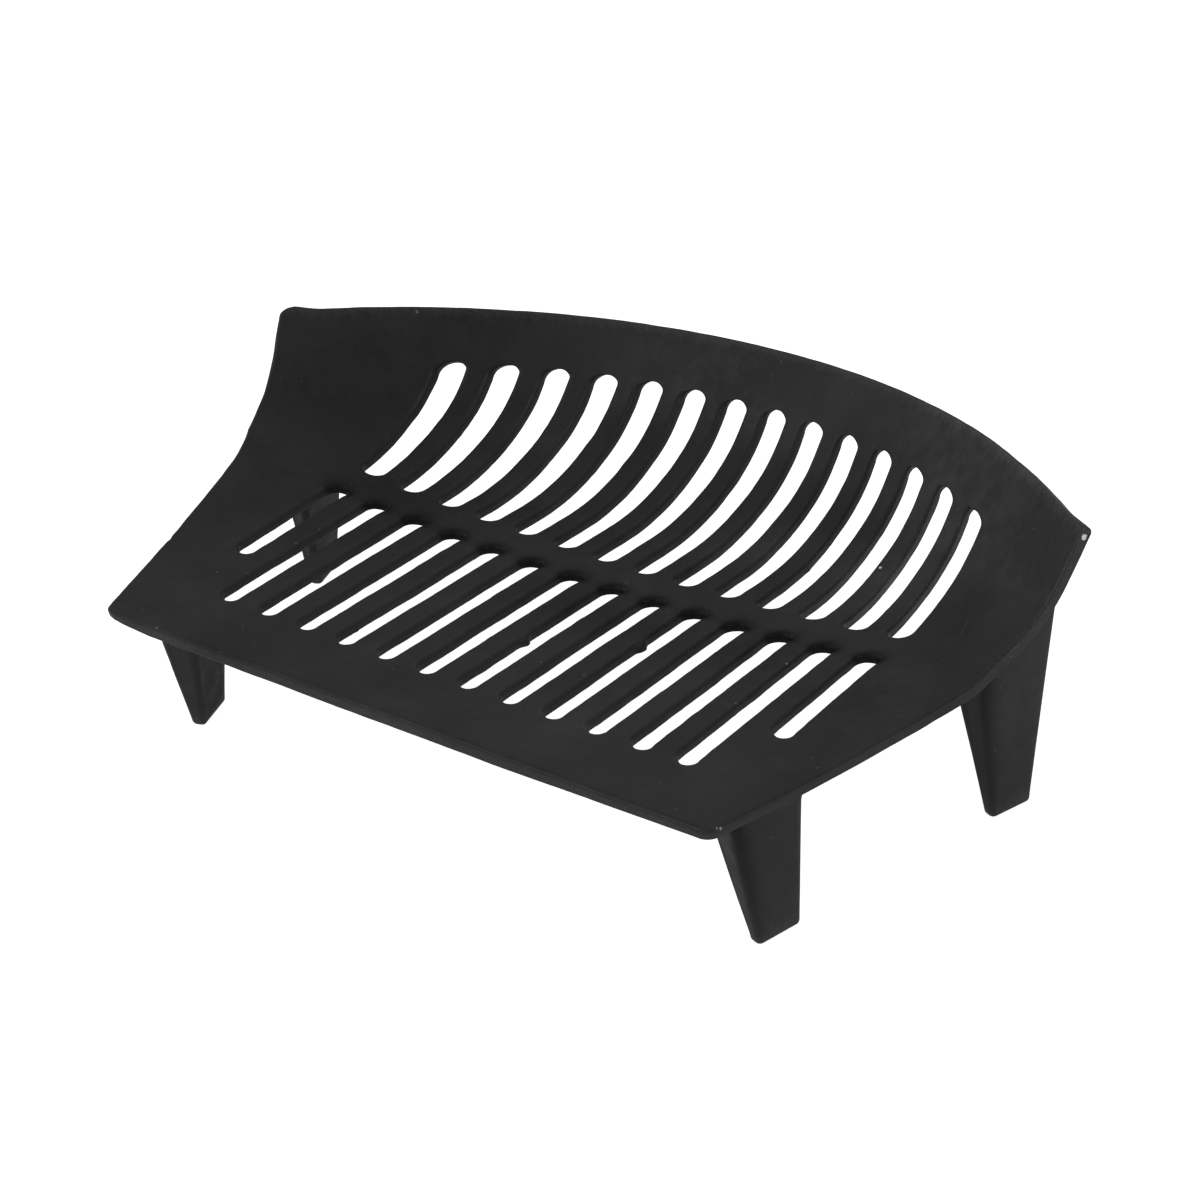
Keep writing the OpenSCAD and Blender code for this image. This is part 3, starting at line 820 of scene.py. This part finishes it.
def iron_paint():
    m, nt = new_material("black_stove_paint")
    link = nt.links.new
    out = add(nt, "ShaderNodeOutputMaterial")
    bsdf = add(nt, "ShaderNodeBsdfPrincipled")
    link(bsdf.outputs["BSDF"], out.inputs["Surface"])
    tc = add(nt, "ShaderNodeTexCoord")
    co = tc.outputs["Object"]

    def noise(scale, detail=3.0, rough=0.5, distortion=0.0):
        n = add(nt, "ShaderNodeTexNoise")
        n.inputs["Scale"].default_value = scale
        n.inputs["Detail"].default_value = detail
        n.inputs["Roughness"].default_value = rough
        n.inputs["Distortion"].default_value = distortion
        link(co, n.inputs["Vector"])
        return n.outputs["Fac"]

    def remap(value, a, b, c, d, smooth=True):
        r = add(nt, "ShaderNodeMapRange")
        r.interpolation_type = "SMOOTHSTEP" if smooth else "LINEAR"
        r.clamp = True
        link(value, r.inputs["Value"])
        for k, v in zip(("From Min", "From Max", "To Min", "To Max"), (a, b, c, d)):
            r.inputs[k].default_value = v
        return r.outputs["Result"]

    def math_(op, a, b):
        n = add(nt, "ShaderNodeMath")
        n.operation = op
        for k, v in enumerate((a, b)):
            if isinstance(v, (int, float)):
                n.inputs[k].default_value = v
            else:
                link(v, n.inputs[k])
        return n.outputs[0]

    def mix(fac, a, b):
        n = add(nt, "ShaderNodeMix")
        n.data_type = "RGBA"
        link(fac, n.inputs[0])
        for k, v in ((6, a), (7, b)):
            if isinstance(v, tuple):
                n.inputs[k].default_value = (*v, 1)
            else:
                link(v, n.inputs[k])
        return n.outputs[2]

    edge = add(nt, "ShaderNodeAttribute")
    edge.attribute_name = "edge"
    wear = add(nt, "ShaderNodeAttribute")
    wear.attribute_name = "wear"
    painted_shade = add(nt, "ShaderNodeAttribute")
    painted_shade.attribute_name = "painted_shade"

    tone = add(nt, "ShaderNodeAttribute")
    tone.attribute_name = "tone"
    # the soft marks are broken up a little
    toned = math_("MULTIPLY", tone.outputs["Fac"], remap(noise(48.0, 3.0, 0.55, 0.5), 0.3, 0.7, 0.7, 1.3))

    patches = noise(22.0, 4.0, 0.55, 0.4)      # 45 mm cloudiness of the paint
    mottle = noise(160.0, 4.0, 0.6)            # 6 mm mottling
    grain = noise(900.0, 3.0, 0.6)             # sand grain of about 1 mm
    fine = noise(2600.0, 2.0, 0.5)             # paint texture

    blots = noise(75.0, 3.0, 0.55, 0.6)        # 13 mm blots
    base = mix(remap(patches, 0.33, 0.67, 0, 1), (0.0075, 0.0077, 0.0081), (0.0145, 0.0148, 0.0153))
    base = mix(remap(blots, 0.38, 0.66, 0, 0.3), base, (0.0185, 0.0188, 0.0194))
    base = mix(remap(mottle, 0.34, 0.68, 0, 0.6), base, (0.0180, 0.0183, 0.0190))
    # lighter edges, broken up by the grain: rubbed paint on the legs, painted highlights on the plate's rim, back edge,
    # right corner and slot edges
    rub_and_highlight = math_("MULTIPLY", edge.outputs["Fac"], remap(grain, 0.36, 0.66, 0.25, 1.0))
    base = mix(rub_and_highlight, base, (0.041, 0.0415, 0.043))
    foot = math_("MULTIPLY", wear.outputs["Fac"], remap(grain, 0.40, 0.66, 0.15, 0.95))
    base = mix(foot, base, (0.050, 0.051, 0.053))
    # painted shade: the far ends of the floor slots and the legs' corners and tops under the plate are painted nearly
    # black
    shade_mix = math_("MULTIPLY", painted_shade.outputs["Fac"], remap(patches, 0.3, 0.7, 0.80, 0.98))
    base = mix(shade_mix, base, (0.0030, 0.0030, 0.0032))
    vm = add(nt, "ShaderNodeVectorMath")
    vm.operation = "SCALE"
    link(base, vm.inputs[0])
    link(math_("ADD", toned, 1.0), vm.inputs["Scale"])
    base = vm.outputs["Vector"]
    # pale dust specks in the pits
    speck = remap(noise(420.0, 2.0, 0.5), 0.735, 0.775, 0, 0.8)
    base = mix(speck, base, (0.085, 0.088, 0.095))
    for x, y, z, r, shade in CHIPS:
        v = add(nt, "ShaderNodeVectorMath")
        v.operation = "DISTANCE"
        link(co, v.inputs[0])
        v.inputs[1].default_value = (x / 1000, (y - MID_Y) / 1000, z / 1000)
        d = math_("ADD", v.outputs["Value"], math_("MULTIPLY", remap(grain, 0.2, 0.8, -1, 1, False), r * 0.0004))
        base = mix(remap(d, r * 0.00060, r * 0.00115, 1, 0), base, (shade, shade, shade * 1.03))
    for a, b, width, shade in SCRATCHES:
        a = np.array([a[0], a[1] - MID_Y, float(top_z(np.array(a[0]), np.array(a[1])))]) / 1000
        b = np.array([b[0], b[1] - MID_Y, float(top_z(np.array(b[0]), np.array(b[1])))]) / 1000
        run = b - a
        sub, dot, sc, dist = (add(nt, "ShaderNodeVectorMath") for _ in range(4))
        sub.operation, dot.operation, sc.operation, dist.operation = "SUBTRACT", "DOT_PRODUCT", "SCALE", "DISTANCE"
        link(co, sub.inputs[0])
        sub.inputs[1].default_value = a
        link(sub.outputs[0], dot.inputs[0])
        dot.inputs[1].default_value = run / float(run @ run)
        sc.inputs[0].default_value = run
        t = add(nt, "ShaderNodeClamp")
        link(dot.outputs["Value"], t.inputs["Value"])
        link(t.outputs[0], sc.inputs["Scale"])
        link(sub.outputs[0], dist.inputs[0])
        link(sc.outputs[0], dist.inputs[1])
        d = math_("ADD", dist.outputs["Value"], math_("MULTIPLY", remap(mottle, 0.3, 0.7, 0, 1, False), width * 0.0006))
        base = mix(remap(d, width * 0.0004, width * 0.0010, 1, 0), base, (shade, shade, shade * 1.03))
    link(base, bsdf.inputs["Base Color"])

    rough = remap(mottle, 0.3, 0.7, 0.44, 0.58)
    rough = math_("SUBTRACT", rough, math_("MULTIPLY", rub_and_highlight, 0.08))
    link(rough, bsdf.inputs["Roughness"])
    shine = math_("MULTIPLY", remap(patches, 0.34, 0.66, 0.39, 0.45), math_("ADD", math_("MULTIPLY", toned, 0.5), 1.0))
    # the painted shade also lowers the specular level
    link(math_("MULTIPLY", shine, remap(painted_shade.outputs["Fac"], 0, 1, 1.0, 0.45)), bsdf.inputs["Specular IOR Level"])

    b1 = add(nt, "ShaderNodeBump")
    b1.inputs["Strength"].default_value = 0.5
    b1.inputs["Distance"].default_value = 0.00022
    link(mottle, b1.inputs["Height"])
    b2 = add(nt, "ShaderNodeBump")
    b2.inputs["Strength"].default_value = 0.5
    b2.inputs["Distance"].default_value = 0.00007
    link(grain, b2.inputs["Height"])
    link(b1.outputs["Normal"], b2.inputs["Normal"])
    b3 = add(nt, "ShaderNodeBump")
    b3.inputs["Strength"].default_value = 0.35
    b3.inputs["Distance"].default_value = 0.00002
    link(fine, b3.inputs["Height"])
    link(b2.outputs["Normal"], b3.inputs["Normal"])
    link(b3.outputs["Normal"], bsdf.inputs["Normal"])
    return m


paint = iron_paint()
pieces = [("bed", to_object(make_bed(), "bed"), "grate_bed")]


def grown(quad, scale, dx, dy):
    q = np.array(quad)
    return (q.mean(0) + (q - q.mean(0)) * scale + np.array([dx, dy])).tolist()


# no two legs of a casting are quite alike: (scale, shift along X, shift along Y)
OWN = {"rear_leg_left": (1.03, 0.0, 0.0), "rear_leg_right": (1.0, 0.0, 0.0),
       "front_leg_left": (1.0, 0.0, 0.0), "front_leg_right": (1.015, 0.32, 0.2)}
rear = (REAR_TOP, REAR_FOOT, [3.2, 3.0, 3.0, 3.0], [2.5, 2.5, 2.3, 2.3], 3.5)
front = (FRONT_TOP, FRONT_FOOT, [3.5, 3.0, 3.0, 3.0], [2.5, 2.5, 2.3, 2.3], 4.0)
for label, spec in (("rear_leg", rear), ("front_leg", front)):
    for side, flip in (("left", True), ("right", False)):
        own = OWN[f"{label}_{side}"]
        top = grown(spec[0], *own)
        if (label, side) == ("rear_leg", "left"):
            top[0][0] += 0.7
            top[3][0] -= 0.3
        round_foot = (label, side) == ("rear_leg", "left")
        build = make_leg(top, grown(spec[1], *own), *spec[2:], 2.7 if round_foot else 2.1, {"rear_leg_left": 0.6, "rear_leg_right": 1.1}.get(f"{label}_{side}", 0.85))
        pieces.append((f"{label}_{side}", to_object(build, f"{label}_{side}_cast", flip, True), f"{label}_{side}"))
for _, ob, node in pieces:
    ob.data.materials.append(paint)
    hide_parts(node)
    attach(ob, "root")


# ---------------------------------------------------------------- stage, light and camera
def floor_material():
    m, nt = new_material("studio_floor")
    link = nt.links.new
    out = add(nt, "ShaderNodeOutputMaterial")
    diffuse = add(nt, "ShaderNodeBsdfDiffuse")
    diffuse.inputs["Color"].default_value = (0.80, 0.80, 0.80, 1)
    glow = add(nt, "ShaderNodeEmission")
    glow.inputs["Color"].default_value = (1, 1, 1, 1)
    glow.inputs["Strength"].default_value = 0.92
    plus = add(nt, "ShaderNodeAddShader")
    link(diffuse.outputs[0], plus.inputs[0])
    link(glow.outputs[0], plus.inputs[1])
    path = add(nt, "ShaderNodeLightPath")
    faint = add(nt, "ShaderNodeEmission")
    faint.inputs["Color"].default_value = (1, 1, 1, 1)
    faint.inputs["Strength"].default_value = 0.205
    lit = add(nt, "ShaderNodeAddShader")
    link(diffuse.outputs[0], lit.inputs[0])
    link(faint.outputs[0], lit.inputs[1])
    pick = add(nt, "ShaderNodeMixShader")
    link(path.outputs["Is Camera Ray"], pick.inputs[0])
    link(lit.outputs[0], pick.inputs[1])
    link(plus.outputs[0], pick.inputs[2])
    link(pick.outputs[0], out.inputs["Surface"])
    return m


me = bpy.data.meshes.new("floor")
S = 14.0
me.from_pydata([(-S, -S, 0), (S, -S, 0), (S, S, 0), (-S, S, 0)], [], [(0, 1, 2, 3)])
floor = bpy.data.objects.new("floor", me)
floor.location.z = -0.0002
bpy.context.scene.collection.objects.link(floor)
floor.data.materials.append(floor_material())

world = bpy.data.worlds.new("studio")
bpy.context.scene.world = world
world.use_nodes = True
wn = world.node_tree
wn.nodes.clear()
w_out = wn.nodes.new("ShaderNodeOutputWorld")
w_bg = wn.nodes.new("ShaderNodeBackground")
w_bg.inputs["Color"].default_value = (1, 1, 1, 1)
w_bg.inputs["Strength"].default_value = 0.309
w_see = wn.nodes.new("ShaderNodeBackground")
w_see.inputs["Color"].default_value = (1, 1, 1, 1)
w_see.inputs["Strength"].default_value = 1.0
w_path = wn.nodes.new("ShaderNodeLightPath")
w_mix = wn.nodes.new("ShaderNodeMixShader")
wn.links.new(w_path.outputs["Is Camera Ray"], w_mix.inputs[0])
wn.links.new(w_bg.outputs[0], w_mix.inputs[1])
wn.links.new(w_see.outputs[0], w_mix.inputs[2])
wn.links.new(w_mix.outputs[0], w_out.inputs["Surface"])


def area(name, where, look, size, watts):
    light = bpy.data.lights.new(name, "AREA")
    light.shape = "RECTANGLE"
    light.size, light.size_y = size
    light.energy = watts
    ob = bpy.data.objects.new(name, light)
    ob.location = where
    d = Vector(look) - Vector(where)
    ob.rotation_euler = d.to_track_quat("-Z", "Y").to_euler()
    bpy.context.scene.collection.objects.link(ob)
    return ob


area("right_softbox", (1.973, 0.0, 0.768), (0, 0, 0.05), (1.0, 1.0), 5.8)
area("left_softbox", (-1.973, 0.0, 0.768), (0, 0, 0.05), (1.0, 1.0), 2.7)
area("front_softbox", (-0.61, 1.877, 0.768), (0, 0, 0.05), (1.0, 1.0), 0.9)
area("back_softbox", (-0.730, -1.434, 1.40), (0, 0, 0.05), (1.0, 1.0), 6.3)
area("overhead", (0.0, 0.888, 1.953), (0, 0, 0.05), (1.0, 1.0), 1.6)

cam_data = bpy.data.cameras.new("camera")
cam_data.sensor_width = 36.0
cam_data.lens = 84.604
cam_data.clip_start = 0.01
cam_data.clip_end = 100
camera = bpy.data.objects.new("camera", cam_data)
bpy.context.scene.collection.objects.link(camera)
right = Vector((0.8047935858, 0.5898306450, -0.0663859511))
down = Vector((0.2613302230, -0.4525321524, -0.8525967192))
ahead = Vector((-0.5329294501, 0.6688157155, -0.5183355477))
place = Vector((0.60118673, (-624.54008612 - MID_Y) / 1000, 0.63524637))
camera.matrix_world = Matrix((
    (right.x, -down.x, -ahead.x, place.x),
    (right.y, -down.y, -ahead.y, place.y),
    (right.z, -down.z, -ahead.z, place.z),
    (0, 0, 0, 1)))
bpy.context.scene.camera = camera
bpy.context.scene.view_settings.view_transform = "Standard"
bpy.context.scene.view_settings.look = "None"
